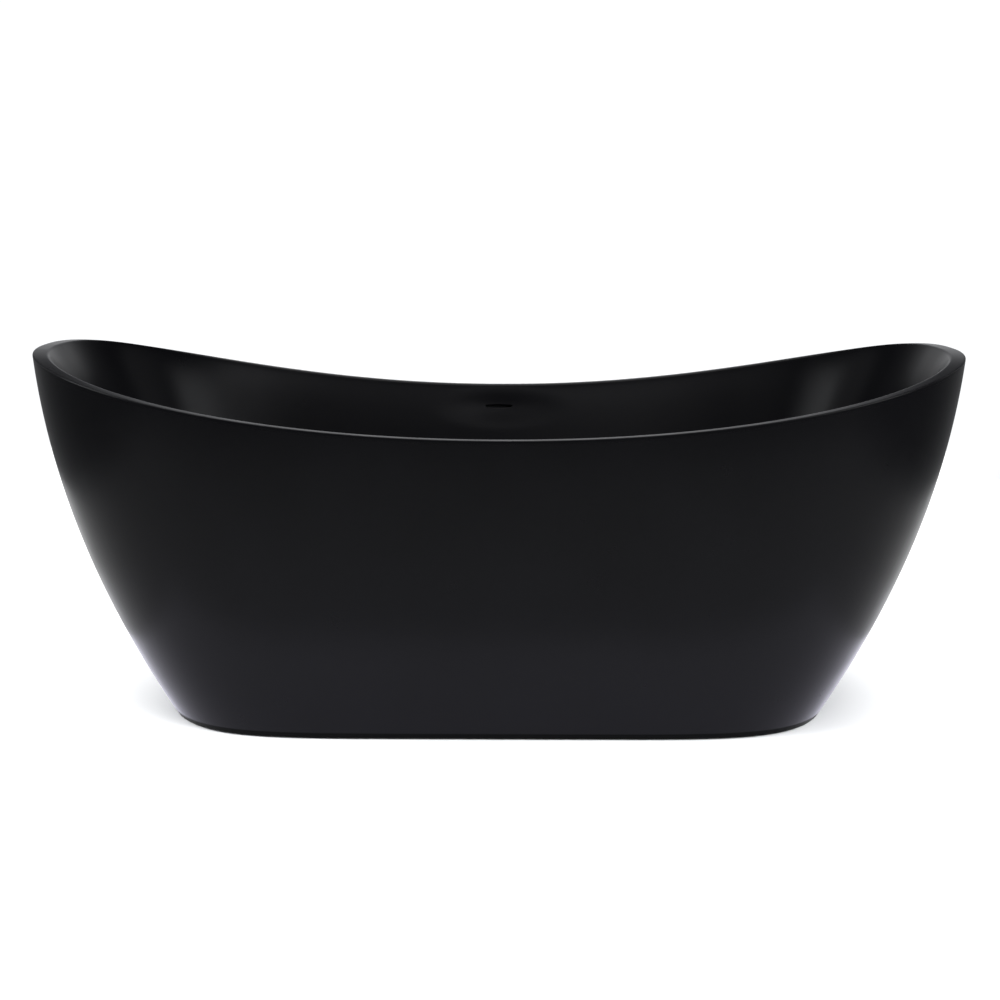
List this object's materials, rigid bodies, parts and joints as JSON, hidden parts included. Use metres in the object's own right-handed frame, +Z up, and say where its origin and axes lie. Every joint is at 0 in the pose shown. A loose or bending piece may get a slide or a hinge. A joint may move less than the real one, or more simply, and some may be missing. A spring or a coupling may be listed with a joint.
{
  "type": "freestanding bathtub",
  "caption": "Black double-ended freestanding bathtub with a dipped flat rim, raised ends, slotted overflow, pop-up waste and levelling feet.",
  "frame": {"origin": "centre of the footprint on the floor, under the drain", "axes": "+X along the tub, +Y across it towards the overflow side, +Z up"},
  "size_m": [1.7, 0.8014, 0.675],
  "materials": {
    "acrylic_black": "satin",
    "shell_black": "satin",
    "adhesive": "matte",
    "plywood": "raw",
    "galvanised_steel": "galvanised",
    "zinc_steel": "zinc plated",
    "foot_plastic": "matte",
    "black_brass": "black coated",
    "raw_brass": "turned",
    "spring_steel": "drawn",
    "black_rubber": "matte",
    "waste_plastic": "moulded",
    "hose_plastic": "moulded"
  },
  "bodies": {
    "tub": {"basin": "acrylic_black", "outer_shell": "shell_black", "rim_bond": "adhesive", "base_board": "plywood", "rail_front": "galvanised_steel", "rail_rear": "galvanised_steel", "cross_member_left": "galvanised_steel", "cross_member_right": "galvanised_steel", "board_screws": "zinc_steel", "weld_nuts": "zinc_steel", "foot_lock_nuts": "zinc_steel", "skirt_blocks": "plywood", "skirt_brackets": "galvanised_steel", "bracket_screws": "zinc_steel", "drain_flange": "black_brass", "drain_gasket": "black_rubber", "drain_washer": "black_rubber", "drain_lock_nut": "raw_brass", "popup_cartridge": "raw_brass", "popup_spring": "spring_steel", "waste_tee": "waste_plastic", "waste_tailpiece": "waste_plastic", "tailpiece_nut": "waste_plastic", "tailpiece_washer": "black_rubber", "overflow_box": "waste_plastic", "overflow_gasket": "black_rubber", "overflow_hose": "hose_plastic", "hose_clamp_top": "zinc_steel", "hose_clamp_bottom": "zinc_steel"},
    "popup": {"popup_cap": "black_brass", "popup_seal": "black_rubber", "popup_stem": "raw_brass"},
    "foot_1": {"foot_pad_1": "foot_plastic"},
    "stud_1": {"foot_stud_1": "zinc_steel"},
    "foot_2": {"foot_pad_2": "foot_plastic"},
    "stud_2": {"foot_stud_2": "zinc_steel"},
    "foot_3": {"foot_pad_3": "foot_plastic"},
    "stud_3": {"foot_stud_3": "zinc_steel"},
    "foot_4": {"foot_pad_4": "foot_plastic"},
    "stud_4": {"foot_stud_4": "zinc_steel"}
  },
  "joints": [
    {"name": "popup_lift", "type": "slide", "parent": "tub", "child": "popup", "axis": [0, 0, 1], "range_m": [0, 0.009], "deforming": ["popup_spring"]},
    {"name": "foot_1_height", "type": "slide", "parent": "tub", "child": "foot_1", "axis": [0, 0, 1], "range_m": [-0.015, 0.012]},
    {"name": "stud_1_turn", "type": "hinge", "parent": "foot_1", "child": "stud_1", "pos_m": [-0.415, -0.165, 0.05], "axis": [0, 0, 1], "range_deg": [-3605, 2885]},
    {"name": "foot_2_height", "type": "slide", "parent": "tub", "child": "foot_2", "axis": [0, 0, 1], "range_m": [-0.015, 0.012]},
    {"name": "stud_2_turn", "type": "hinge", "parent": "foot_2", "child": "stud_2", "pos_m": [0.415, -0.165, 0.05], "axis": [0, 0, 1], "range_deg": [-3605, 2885]},
    {"name": "foot_3_height", "type": "slide", "parent": "tub", "child": "foot_3", "axis": [0, 0, 1], "range_m": [-0.015, 0.012]},
    {"name": "stud_3_turn", "type": "hinge", "parent": "foot_3", "child": "stud_3", "pos_m": [-0.415, 0.165, 0.05], "axis": [0, 0, 1], "range_deg": [-3605, 2885]},
    {"name": "foot_4_height", "type": "slide", "parent": "tub", "child": "foot_4", "axis": [0, 0, 1], "range_m": [-0.015, 0.012]},
    {"name": "stud_4_turn", "type": "hinge", "parent": "foot_4", "child": "stud_4", "pos_m": [0.415, 0.165, 0.05], "axis": [0, 0, 1], "range_deg": [-3605, 2885]}
  ],
  "couplings": [
    {"joint": "stud_1_turn", "follows": "foot_1_height", "rad_per_m": 4188.8},
    {"joint": "stud_2_turn", "follows": "foot_2_height", "rad_per_m": 4188.8},
    {"joint": "stud_3_turn", "follows": "foot_3_height", "rad_per_m": 4188.8},
    {"joint": "stud_4_turn", "follows": "foot_4_height", "rad_per_m": 4188.8}
  ]
}
